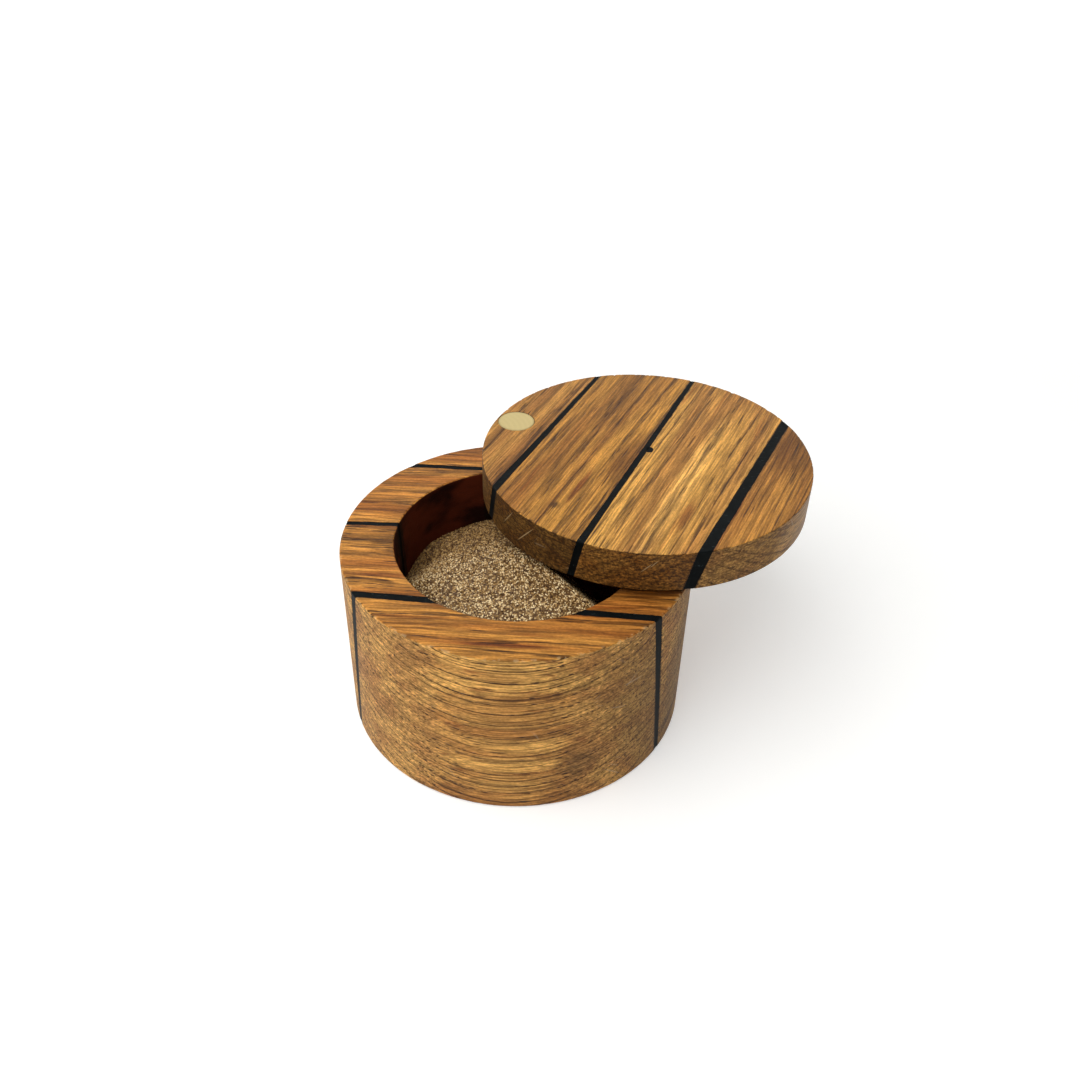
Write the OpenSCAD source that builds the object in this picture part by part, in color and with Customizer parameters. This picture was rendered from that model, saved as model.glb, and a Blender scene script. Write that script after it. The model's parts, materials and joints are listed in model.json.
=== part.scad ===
// Round salt box turned from laminated oak. The lid swings aside on an upright dowel in the rim.
// Millimetres, +Z up, origin in the middle of the foot, with the dowel towards +Y.
// The bowl and the lid are each four oak planks glued up with dark resin seams. Plank widths are
// taken at the top face, to the middle of the seam.

/* [Bowl] */
// Outer diameter of the bowl
bowl_d = 86; // [76:0.5:120]
// Height of the bowl
bowl_h = 48; // [40:0.5:90]
// Thickness of the wall round the hollow
wall_t = 13; // [11.7:0.1:20]
// Thickness of the floor under the hollow
floor_t = 10; // [4:0.5:20]
// Width of the eased edges of the bowl and the lid
edge_w = 0.4; // [0.1:0.05:0.9]

/* [Lid] */
// Thickness of the lid
lid_t = 10.6; // [6:0.2:20]
// How far the edge of the lid stands in from the edge of the bowl
lid_inset = 1.3; // [0.5:0.1:1.5]
// Gap between the rim and the underside of the lid
lid_gap = 0.8; // [0.4:0.1:2]
// How far the lid stands open, in degrees, where 0 is shut
lid_open = 64.4; // [0:0.1:180]

/* [Dowel] */
// Diameter of the dowel
dowel_d = 9.5; // [6:0.5:10]
// Wood left between the dowel and the edge of the lid
dowel_rim_w = 0.45; // [0.3:0.05:1]
// Length of the dowel that turns in the bowl
dowel_reach = 20; // [8:0.5:32]
// Running clearance all round the dowel in the bowl
dowel_run_gap = 0.05; // [0.02:0.01:0.1]
// Glue line all round the dowel in the lid
dowel_glue_gap = 0.02; // [0.01:0.01:0.05]
// Clearance under the end of the dowel
dowel_end_gap = 0.3; // [0.3:0.1:1]

/* [Bowl seams] */
// Width of the front plank of the bowl
bowl_front_plank_w = 17.7; // [12:0.1:26]
// Thickness of the front seam of the bowl
bowl_front_w = 2.4; // [0.5:0.1:4]
// Turn of the front seam of the bowl, in degrees
bowl_front_turn = -7.4; // [-10:0.1:10]
// Lean of the front seam of the bowl, in degrees
bowl_front_lean = 6; // [0:0.5:8]
// Distance of the middle seam of the bowl behind the bowl's middle
bowl_mid_at = 4.4; // [-4:0.1:12]
// Thickness of the middle seam of the bowl
bowl_mid_w = 1.5; // [0.5:0.1:4]
// Turn of the middle seam of the bowl, in degrees
bowl_mid_turn = -3; // [-10:0.1:10]
// Lean of the middle seam of the bowl, in degrees
bowl_mid_lean = 5; // [0:0.5:8]
// Width of the back plank of the bowl
bowl_back_plank_w = 13.1; // [12:0.1:18]
// Thickness of the back seam of the bowl
bowl_back_w = 1.8; // [0.5:0.1:4]
// Turn of the back seam of the bowl, in degrees
bowl_back_turn = -5.1; // [-10:0.1:10]
// Lean of the back seam of the bowl, in degrees
bowl_back_lean = 1; // [0:0.5:8]

/* [Lid seams] */
// Width of the front plank of the lid
lid_front_plank_w = 14.7; // [10:0.1:22]
// Thickness of the front seam of the lid
lid_front_w = 3; // [0.5:0.1:4]
// Turn of the front seam of the lid, in degrees
lid_front_turn = -2.6; // [-10:0.1:10]
// Distance of the middle seam of the lid from the lid's middle, towards the dowel
lid_mid_at = 1; // [-6:0.1:8]
// Thickness of the middle seam of the lid
lid_mid_w = 1.6; // [0.5:0.1:4]
// Turn of the middle seam of the lid, in degrees
lid_mid_turn = -0.2; // [-10:0.1:10]
// Width of the back plank of the lid
lid_back_plank_w = 14.7; // [14:0.1:20]
// Thickness of the back seam of the lid
lid_back_w = 1.8; // [0.5:0.1:3]
// Turn of the back seam of the lid, in degrees
lid_back_turn = -1.8; // [-5:0.1:5]
// Lean of all three seams of the lid, in degrees
lid_lean = 11.5; // [0:0.5:15]
// Diameter of the resin spot that fills a small knot on the middle seam of the lid
spot_d = 3; // [1:0.1:6]
// Depth of the resin spot
spot_depth = 3; // [1:0.5:5]

/* [Salt] */
// How far the top of the heap lies below the rim
salt_below_rim = 0.8; // [0.5:0.1:15]
// Place of the top of the heap to the right of the middle
salt_top_x = 4; // [-20:1:20]
// Place of the top of the heap behind the middle, so below 0 it is in front
salt_top_y = -20; // [-20:1:20]
// Radius of the domed top of the heap
salt_dome_r = 80; // [60:1:150]
// Slope of the scooped side of the heap, in degrees
scoop_slope = 42; // [20:1:60]
// Direction that the scooped side faces, in degrees from the right-hand side
scoop_turn = 42; // [0:1:90]
// Distance from the middle of the bowl to the ridge of the scooped side
scoop_at = -1.5; // [-15:0.5:15]
// How far the ridge of the scooped side lies below the top of the heap
scoop_drop = 2; // [0:0.5:10]
// Clearance between the heap and the wall of the hollow
salt_gap = 0.05; // [0.02:0.01:0.2]

/* [Hidden] */
$fn = 180;

bowl_r = bowl_d / 2;
hollow_r = bowl_r - wall_t;
lid_r = bowl_r - lid_inset;
lid_z = bowl_h + lid_gap;
lid_top_z = lid_z + lid_t;
pivot_y = lid_r - dowel_rim_w - dowel_d / 2;
dowel_foot_z = bowl_h - dowel_reach;
// Longer than any plank, to cut right across
across = 2 * bowl_d + bowl_h;
// Extra length of a cut past the face that it opens
past = 1;

// A seam is [place, thickness, turn, lean, height at which the place is measured]
bowl_front_at = bowl_front_plank_w - bowl_r;
bowl_back_at = bowl_r - bowl_back_plank_w;
lid_front_at = lid_front_plank_w - lid_r;
lid_back_at = lid_r - lid_back_plank_w;
bowl_front = [bowl_front_at, bowl_front_w, bowl_front_turn, bowl_front_lean, bowl_h];
bowl_mid = [bowl_mid_at, bowl_mid_w, bowl_mid_turn, bowl_mid_lean, bowl_h];
bowl_back = [bowl_back_at, bowl_back_w, bowl_back_turn, bowl_back_lean, bowl_h];
lid_front = [lid_front_at, lid_front_w, lid_front_turn, lid_lean, lid_top_z];
lid_mid = [lid_mid_at, lid_mid_w, lid_mid_turn, lid_lean, lid_top_z];
lid_back = [lid_back_at, lid_back_w, lid_back_turn, lid_lean, lid_top_z];

oak_golden = "#C08A4A";
oak_brown = "#A87440";
oak_dark = "#8F6238";
resin_black = "#1E2327";
dowel_cream = "#CDBB86";
salt_tan = "#A8937A";

// Puts its children in a seam's own frame: x along the seam, y through it, z up its lean
module in_seam(seam) {
  rotate([0, 0, seam[2]])
    translate([0, seam[0], seam[4]])
      rotate([seam[3], 0, 0])
        children();
}

// The resin layer itself
module layer(seam) {
  in_seam(seam)
    translate([-across / 2, -seam[1] / 2, -across / 2])
      cube([across, seam[1], across]);
}

// Everything on the dowel's side of a seam
module behind(seam) {
  in_seam(seam)
    translate([-across / 2, seam[1] / 2, -across / 2])
      cube(across);
}

// Everything on the far side of a seam from the dowel
module before(seam) {
  in_seam(seam)
    translate([-across / 2, -seam[1] / 2 - across, -across / 2])
      cube(across);
}

// The whole bowl, glued up, with its hollow and the blind bore for the dowel
module bowl_blank() {
  difference() {
    rotate_extrude()
      polygon([
        [0, 0],
        [bowl_r - edge_w, 0],
        [bowl_r, edge_w],
        [bowl_r, bowl_h - edge_w],
        [bowl_r - edge_w, bowl_h],
        [hollow_r + edge_w, bowl_h],
        [hollow_r, bowl_h - edge_w],
        [hollow_r, floor_t],
        [0, floor_t]
      ]);
    translate([0, pivot_y, dowel_foot_z - dowel_end_gap])
      cylinder(r = dowel_d / 2 + dowel_run_gap, h = dowel_reach + dowel_end_gap + past);
  }
}

// The whole lid, glued up and shut, with the hole for the dowel
module lid_blank() {
  difference() {
    translate([0, 0, lid_z])
      rotate_extrude()
        polygon([
          [0, 0],
          [lid_r - edge_w, 0],
          [lid_r, edge_w],
          [lid_r, lid_t - edge_w],
          [lid_r - edge_w, lid_t],
          [0, lid_t]
        ]);
    translate([0, pivot_y, lid_z - past])
      cylinder(r = dowel_d / 2 + dowel_glue_gap, h = lid_t + 2 * past);
  }
}

// Turns its children about the dowel, from shut to open
module swung() {
  translate([0, pivot_y, 0])
    rotate([0, 0, lid_open])
      translate([0, -pivot_y, 0])
        children();
}

// The knot in the lid that resin fills
module spot() {
  translate([0, 0, lid_top_z - spot_depth])
    cylinder(d = spot_d, h = spot_depth + past);
}

module bowl_plank_front() {
  color(oak_golden)
    intersection() {
      bowl_blank();
      before(bowl_front);
    }
}

module bowl_plank_mid_front() {
  color(oak_brown)
    intersection() {
      bowl_blank();
      behind(bowl_front);
      before(bowl_mid);
    }
}

module bowl_plank_mid_back() {
  color(oak_golden)
    intersection() {
      bowl_blank();
      behind(bowl_mid);
      before(bowl_back);
    }
}

module bowl_plank_back() {
  color(oak_dark)
    intersection() {
      bowl_blank();
      behind(bowl_back);
    }
}

module bowl_seam_front() {
  color(resin_black)
    intersection() {
      bowl_blank();
      layer(bowl_front);
    }
}

module bowl_seam_middle() {
  color(resin_black)
    intersection() {
      bowl_blank();
      layer(bowl_mid);
    }
}

module bowl_seam_back() {
  color(resin_black)
    intersection() {
      bowl_blank();
      layer(bowl_back);
    }
}

module lid_plank_front() {
  color(oak_brown)
    swung()
      intersection() {
        lid_blank();
        before(lid_front);
      }
}

module lid_plank_mid_front() {
  color(oak_golden)
    swung()
      difference() {
        intersection() {
          lid_blank();
          behind(lid_front);
          before(lid_mid);
        }
        spot();
      }
}

module lid_plank_mid_back() {
  color(oak_brown)
    swung()
      difference() {
        intersection() {
          lid_blank();
          behind(lid_mid);
          before(lid_back);
        }
        spot();
      }
}

module lid_plank_back() {
  color(oak_golden)
    swung()
      intersection() {
        lid_blank();
        behind(lid_back);
      }
}

module lid_seam_front() {
  color(resin_black)
    swung()
      intersection() {
        lid_blank();
        layer(lid_front);
      }
}

module lid_seam_middle() {
  color(resin_black)
    swung()
      intersection() {
        lid_blank();
        union() {
          layer(lid_mid);
          spot();
        }
      }
}

module lid_seam_back() {
  color(resin_black)
    swung()
      intersection() {
        lid_blank();
        layer(lid_back);
      }
}

// The dowel is glued flush into the lid and turns in the bowl
module pivot_dowel() {
  color(dowel_cream)
    translate([0, pivot_y, dowel_foot_z])
      cylinder(d = dowel_d, h = lid_top_z - dowel_foot_z);
}

// Loose salt, domed at the front and scooped away under the lid
module salt_heap() {
  color(salt_tan)
    difference() {
      intersection() {
        translate([0, 0, floor_t])
          cylinder(r = hollow_r - salt_gap, h = bowl_h - floor_t);
        translate([salt_top_x, salt_top_y, bowl_h - salt_below_rim - salt_dome_r])
          sphere(r = salt_dome_r);
      }
      rotate([0, 0, scoop_turn])
        translate([scoop_at, 0, bowl_h - salt_below_rim - scoop_drop])
          rotate([0, scoop_slope, 0])
            translate([-across / 2, -across / 2, 0])
              cube(across);
    }
}

bowl_plank_front();
bowl_plank_mid_front();
bowl_plank_mid_back();
bowl_plank_back();
bowl_seam_front();
bowl_seam_middle();
bowl_seam_back();
lid_plank_front();
lid_plank_mid_front();
lid_plank_mid_back();
lid_plank_back();
lid_seam_front();
lid_seam_middle();
lid_seam_back();
pivot_dowel();
salt_heap();
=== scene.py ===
"""Round oak salt box: a bowl and a swivel lid of boards and resin seams, a dowel and coarse salt."""

import json  # noqa: E402
import logging  # noqa: E402
import math  # noqa: E402
from collections.abc import Callable, Sequence  # noqa: E402
from dataclasses import dataclass  # noqa: E402
from enum import Enum  # noqa: E402
from functools import partial  # noqa: E402

import bmesh  # noqa: E402
import bpy  # noqa: E402
from mathutils import Matrix, Vector, noise  # noqa: E402


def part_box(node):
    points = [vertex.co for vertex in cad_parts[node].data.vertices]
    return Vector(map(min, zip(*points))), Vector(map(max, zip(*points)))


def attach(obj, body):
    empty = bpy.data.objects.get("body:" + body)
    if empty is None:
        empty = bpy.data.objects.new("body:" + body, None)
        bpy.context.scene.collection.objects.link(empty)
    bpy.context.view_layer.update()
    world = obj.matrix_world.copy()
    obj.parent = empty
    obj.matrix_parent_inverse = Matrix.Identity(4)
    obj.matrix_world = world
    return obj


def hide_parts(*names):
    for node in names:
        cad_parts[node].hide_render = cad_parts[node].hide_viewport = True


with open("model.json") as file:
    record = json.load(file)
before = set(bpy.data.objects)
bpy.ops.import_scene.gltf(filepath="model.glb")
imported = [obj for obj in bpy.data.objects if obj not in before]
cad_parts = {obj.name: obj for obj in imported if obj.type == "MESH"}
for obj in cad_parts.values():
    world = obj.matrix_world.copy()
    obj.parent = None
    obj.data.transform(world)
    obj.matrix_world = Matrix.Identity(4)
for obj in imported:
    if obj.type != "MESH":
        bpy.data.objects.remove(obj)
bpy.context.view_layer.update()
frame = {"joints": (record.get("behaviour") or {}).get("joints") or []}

MM = 0.001
LOG = logging.getLogger("salt_box")

BMesh = bmesh.types.BMesh
Point = tuple[float, float]
Outline = Callable[..., list[Point]]
AddNode = Callable[..., bpy.types.Node]
Plug = bpy.types.Node | bpy.types.NodeSocket

# Property that a node's mode sets, and the kinds of node that aren't shader nodes.
MODES = {
    "Math": "operation",
    "VectorMath": "operation",
    "MapRange": "interpolation_type",
    "Mix": "data_type",
}
OTHER_KINDS = ("Geometry", "Function", "NodeGroup")

UNROLLED = 42.0  # radius in mm at which the walls of the bowl and the lid are unrolled
RECESS = 0.05  # how far in mm the resin stands below the wood
SHARP = math.radians(32)  # turn between two faces from which their edge looks sharp
ON_CUT = 2e-3  # distance in mm within which a corner counts as on the cut
SAME_PLACE = 1e-4  # distance in mm within which two corners are one
SLOW, QUICK = 4, 30  # waves of the unevenness round an edge, as round_noise takes them


class Body(Enum):
    """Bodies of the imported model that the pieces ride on."""

    BOWL = "bowl"
    LID = "lid"


class Slot(Enum):
    """Material slots of the record."""

    BOWL_OAK = "bowl_oak"
    LID_OAK = "lid_oak"
    RESIN = "resin"
    DOWEL_WOOD = "dowel_wood"
    SALT = "salt"


class Face(Enum):
    """The two faces of a seam, as the sign of its own Y axis."""

    FRONT = -1
    BACK = 1


class Keep(Enum):
    """Which side of a cut is kept."""

    FRONT = "front"
    BACK = "back"


# ---------------------------------------------------------------- node and mesh helpers


def linear(code: str) -> tuple[float, float, float, float]:
    """Turns an sRGB hex colour into a linear one.

    Args:
        code: Colour such as "#A0743F".

    Returns:
        Red, green, blue and alpha, linear.
    """
    parts = [int(code[i : i + 2], 16) / 255 for i in (1, 3, 5)]
    red, green, blue = (p / 12.92 if p <= 0.04045 else ((p + 0.055) / 1.055) ** 2.4 for p in parts)
    return (red, green, blue, 1.0)


def add_node(tree: bpy.types.NodeTree, kind: str, *values: object, **settings: object) -> bpy.types.Node:
    """Adds one node with its settings and links.

    Args:
        tree: Tree that gets the node.
        kind: Blender's identifier of the node without "ShaderNode", and its mode, as in "Math ADD".
        values: One for each live input in turn, or a dict of them by name or index. A node stands for
            its first live output, and "#RRGGBB" for that colour.
        settings: Other properties of the node.

    Returns:
        The new node.
    """
    kind, _, mode = kind.partition(" ")
    node = tree.nodes.new(kind if kind.startswith(OTHER_KINDS) else "ShaderNode" + kind)
    if mode:
        settings = {MODES[kind]: mode, **settings}
    for name, value in settings.items():
        setattr(node, name, value)
    if values and isinstance(values[0], dict):
        pairs = [(node.inputs[name], value) for name, value in values[0].items()]
    else:
        pairs = list(zip([s for s in node.inputs if s.enabled], values))
    for socket, value in pairs:
        if isinstance(value, str) and value.startswith("#"):
            value = linear(value)
        elif isinstance(value, bpy.types.Node):
            value = next(s for s in value.outputs if s.enabled)
        if isinstance(value, bpy.types.NodeSocket):
            tree.links.new(value, socket)
        else:
            socket.default_value = value
    return node


def cleared(owner: bpy.types.Material | bpy.types.World) -> AddNode:
    """Empties the nodes of a material or world.

    Args:
        owner: The material or world.

    Returns:
        The function that adds a node to it.
    """
    owner.use_nodes = True
    owner.node_tree.nodes.clear()
    return partial(add_node, owner.node_tree)


def in_frame(add: AddNode, local: Matrix) -> bpy.types.Node:
    """Reads Object coordinates as millimetres in a local frame.

    Args:
        add: Adds a node to the material.
        local: The frame, in mm.

    Returns:
        The node that gives the place in the frame.
    """
    placed = {
        "Vector": add("TexCoord").outputs["Object"],
        "Location": local.translation * MM,
        "Rotation": local.to_euler("XYZ"),
        "Scale": (MM, MM, MM),
    }
    return add("Mapping", placed, vector_type="TEXTURE")


def stretched(add: AddNode, place: Plug, size: Sequence[float], detail: float = 2.0) -> bpy.types.Node:
    """Draws noise whose features have a given size in mm.

    Args:
        add: Adds a node to the material.
        place: The place in mm.
        size: Size of a feature along each axis, in mm.
        detail: Octaves of finer noise.

    Returns:
        The noise node.
    """
    cells = add("VectorMath MULTIPLY", place, [1 / s for s in size])
    return add("TexNoise", {"Vector": cells, "Scale": 1.0, "Detail": detail})


def patches(
    add: AddNode,
    place: Plug,
    size: Sequence[float],
    detail: float,
    ease: Sequence[float],
    ends: Sequence[float] = (0.0, 1.0),
) -> bpy.types.Node:
    """Draws noise whose features have a given size in mm, and eases it from one number to another.

    Args:
        add: Adds a node to the material.
        place: The place in mm.
        size: Size of a feature along each axis, in mm.
        detail: Octaves of finer noise.
        ease: Values of the noise at which the change starts and ends.
        ends: Results before and after it.

    Returns:
        The node that gives the result.
    """
    return add("MapRange SMOOTHSTEP", stretched(add, place, size, detail), *ease, *ends)


def dashes(
    add: AddNode, place: Plug, cell: Sequence[float], reach: float, share: float, flat: bool = False
) -> bpy.types.Node:
    """Draws scattered dashes, one to a stretched cell.

    Args:
        add: Adds a node to the material.
        place: The place in mm.
        cell: Size of a cell along each axis, in mm.
        reach: Half a dash's size as a share of its cell.
        share: Share of the cells that hold a dash.
        flat: True if the pattern lies in the XY plane.

    Returns:
        The node that gives 1 on a dash and 0 off it.
    """
    cells = add("VectorMath MULTIPLY", place, [1 / c for c in cell])
    seeds = add("TexVoronoi", {"Vector": cells, "Scale": 1.0}, voronoi_dimensions="2D" if flat else "3D")
    pick = add("SeparateColor", seeds.outputs["Color"])
    size = add("MapRange", pick, 1 - share, 1.0, 0.0, reach)
    inside = add("Math SUBTRACT", size, seeds.outputs["Distance"])
    return add("Math MULTIPLY", inside, 4.0 / reach, use_clamp=True)


def eased(corner: Point, start: float, size: float, steps: int = 4) -> list[Point]:
    """Rounds one corner of an outline that is followed with the solid on its left.

    Args:
        corner: Radius and height of the sharp corner.
        start: Direction of the face before the corner, in degrees: -90 at the foot, 0 at a rim and 90
            inside it.
        size: Radius of the rounding, in mm.
        steps: Number of faces round it.

    Returns:
        The points, with one more before and after them that keep the faces beside the corner flat.
    """
    first, last = math.radians(start), math.radians(start + 90)
    middle_r = corner[0] - size * (math.cos(first) + math.cos(last))
    middle_z = corner[1] - size * (math.sin(first) + math.sin(last))
    turns = [first + (last - first) * i / steps for i in range(steps + 1)]
    points = [(middle_r + size * math.cos(t), middle_z + size * math.sin(t)) for t in turns]
    flat = 0.25
    before = (points[0][0] - flat * math.cos(last), points[0][1] - flat * math.sin(last))
    after = (points[-1][0] - flat * math.cos(first), points[-1][1] - flat * math.sin(first))
    return [before, *points, after]


def round_noise(angle: float, waves: float, key: float) -> float:
    """Noise round a circle that closes on itself.

    Args:
        angle: Angle in radians.
        waves: Radius of the circle in the noise, so about a sixth of the number of waves.
        key: Picks another pattern.

    Returns:
        A number from about -1 to 1.
    """
    return noise.noise(Vector((waves * math.cos(angle), waves * math.sin(angle), key)))


def revolve(outline: Outline, turns: int) -> BMesh:
    """Turns an outline once round the Z axis.

    Args:
        outline: Gives the points (radius, height) at an angle, from one pole to the other.
        turns: Steps round the axis.

    Returns:
        A closed shell in mm.
    """
    shell = bmesh.new()
    rings = []
    for i in range(turns):
        angle = math.tau * i / turns
        ring = outline(angle)[1:-1]
        rings.append([shell.verts.new((r * math.cos(angle), r * math.sin(angle), z)) for r, z in ring])
    ends = outline(0.0)
    foot, crown = (shell.verts.new((0.0, 0.0, ends[i][1])) for i in (0, -1))
    for here, there in zip(rings, rings[1:] + rings[:1]):
        shell.faces.new((foot, there[0], here[0]))
        shell.faces.new((crown, here[-1], there[-1]))
        for i in range(len(here) - 1):
            shell.faces.new((here[i], there[i], there[i + 1], here[i + 1]))
    return shell


def link_mesh(shape: BMesh, name: str) -> bpy.types.Object:
    """Turns a mesh in mm into an object in metres at the origin.

    Args:
        shape: The mesh, which is freed.
        name: Name of the object.

    Returns:
        The object, smooth but for its edges.
    """
    shape.transform(Matrix.Scale(MM, 4))
    bmesh.ops.recalc_face_normals(shape, faces=shape.faces[:])
    mesh = bpy.data.meshes.new(name)
    shape.to_mesh(mesh)
    shape.free()
    mesh.polygons.foreach_set("use_smooth", [True] * len(mesh.polygons))
    mesh.set_sharp_from_angle(angle=SHARP)
    made = bpy.data.objects.new(name, mesh)
    bpy.context.scene.collection.objects.link(made)
    return made


def drilled(shape: BMesh, tool: BMesh) -> BMesh:
    """Takes one solid out of another.

    Args:
        shape: The solid in mm, which is freed.
        tool: What is taken out of it, in mm, which is freed.

    Returns:
        What is left, in mm.
    """
    body, cutter = link_mesh(shape, "drill_body"), link_mesh(tool, "drill_tool")
    cut = body.modifiers.new("hole", "BOOLEAN")
    cut.operation, cut.solver, cut.object = "DIFFERENCE", "EXACT", cutter
    result = bmesh.new()
    result.from_object(body, bpy.context.evaluated_depsgraph_get())
    for made in (body, cutter):
        mesh = made.data
        bpy.data.objects.remove(made)
        bpy.data.meshes.remove(mesh)
    result.transform(Matrix.Scale(1 / MM, 4))
    bmesh.ops.remove_doubles(result, verts=result.verts[:], dist=SAME_PLACE)
    return result


def tie(piece: bpy.types.Object, node: str, body: Body, material: bpy.types.Material) -> None:
    """Gives a piece its material and ties it to the frame.

    Args:
        piece: The finished piece.
        node: CAD node that it stands for.
        body: Body that it rides on.
        material: The finish itself.
    """
    piece.data.materials.clear()
    piece.data.materials.append(material)
    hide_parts(node)
    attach(piece, body.value)
    low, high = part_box(node)
    sides = [sorted(corner[i] for corner in piece.bound_box) for i in range(3)]
    off = max(max(abs(side[0] - low[i]), abs(side[-1] - high[i])) for i, side in enumerate(sides))
    LOG.info("%s: %d faces, within %.2f mm of %s", piece.name, len(piece.data.polygons), off / MM, node)


# ---------------------------------------------------------------- seams


@dataclass(frozen=True)
class Seam:
    """One resin seam between two boards.

    Attributes:
        node: CAD node of the seam.
        at: Middle of the seam at its top, along Y, in mm.
        width: Thickness of the resin, in mm.
        turn: Turn about Z, in degrees.
        lean: Turn about X, in degrees, which takes its foot towards +Y.
        top: Height at which its place is measured, in mm.
        wander: How far its edges stray, in mm.
        taper: How much thinner it gets for each mm down.
        spread: How much wider it gets for each mm along it.
    """

    node: str
    at: float
    width: float
    turn: float
    lean: float
    top: float
    wander: float = 0.14
    taper: float = 0.0
    spread: float = 0.0

    def frame(self) -> Matrix:
        """The seam's own frame in mm: X along it, Y through it, Z up its lean."""
        turned = Matrix.Rotation(math.radians(self.turn), 4, "Z")
        leaned = Matrix.Rotation(math.radians(self.lean), 4, "X")
        return turned @ Matrix.Translation((0.0, self.at, self.top)) @ leaned

    def stray(self, along: float, up: float, face: Face) -> float:
        """How far a face of the seam strays along Y at a point of it.

        Args:
            along: Place along the seam, in mm.
            up: Height above its top, in mm.
            face: Which face.

        Returns:
            The distance in mm.
        """
        # Waves about 9 mm long, and some of 1.7 mm. The key picks another pattern for each face.
        key = 7.3 * self.at + 3.1 * face.value
        slow = noise.noise(Vector((along / 9, up / 9, key)))
        quick = noise.noise(Vector((along / 1.7, up / 1.7, key + 50)))
        lowest = -40.0
        wider = self.taper * max(up, lowest) + self.spread * along
        return self.wander * (slow + 0.4 * quick) + face.value * wider / 2

    def cut(self, solid: BMesh, face: Face, keep: Keep) -> BMesh:
        """Cuts a solid along one face of the seam.

        Args:
            solid: The solid in mm, which stays as it is.
            face: Face of the seam that cuts.
            keep: Side that is kept.

        Returns:
            The part that is kept, closed along the cut.
        """
        part = solid.copy()
        heights = [vert.co.z for vert in part.verts]
        low, high = min(heights), max(heights)
        part.transform(self.frame().inverted())
        for vert in part.verts:
            vert.co.y -= self.stray(vert.co.x, vert.co.z, face)
        cut = bmesh.ops.bisect_plane(
            part,
            geom=[*part.verts, *part.edges, *part.faces],
            dist=ON_CUT,
            plane_co=(0.0, face.value * self.width / 2, 0.0),
            plane_no=(0.0, 1.0, 0.0),
            clear_outer=keep is Keep.FRONT,
            clear_inner=keep is Keep.BACK,
        )
        edges = [e for e in cut["geom_cut"] if isinstance(e, bmesh.types.BMEdge)]
        cap = bmesh.ops.edgeloop_fill(part, edges=edges)
        bmesh.ops.triangulate(part, faces=cap["faces"])
        for vert in part.verts:
            vert.co.y += self.stray(vert.co.x, vert.co.z, face)
        part.transform(self.frame())
        for vert in part.verts:
            vert.co.z = min(max(vert.co.z, low), high)
        return part


# ---------------------------------------------------------------- finishes


@dataclass(frozen=True)
class Mark:
    """A place where the colour of a board differs, long along its grain.

    Attributes:
        at: Middle of the mark in the frame at rest, in mm.
        size: Half its length along the grain, across it and through the board, in mm.
        colour: Its sRGB colour.
        strength: How much of that colour shows, from 0 to 1.
    """

    at: tuple[float, float, float]
    size: tuple[float, float, float]
    colour: str
    strength: float


@dataclass(frozen=True)
class Scratch:
    """A long scratch on a turned wall.

    Attributes:
        start: One end in the frame at rest, in mm.
        end: Its other end.
        strength: How pale it is, from 0 to 1.
    """

    start: tuple[float, float, float]
    end: tuple[float, float, float]
    strength: float = 0.5


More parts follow.
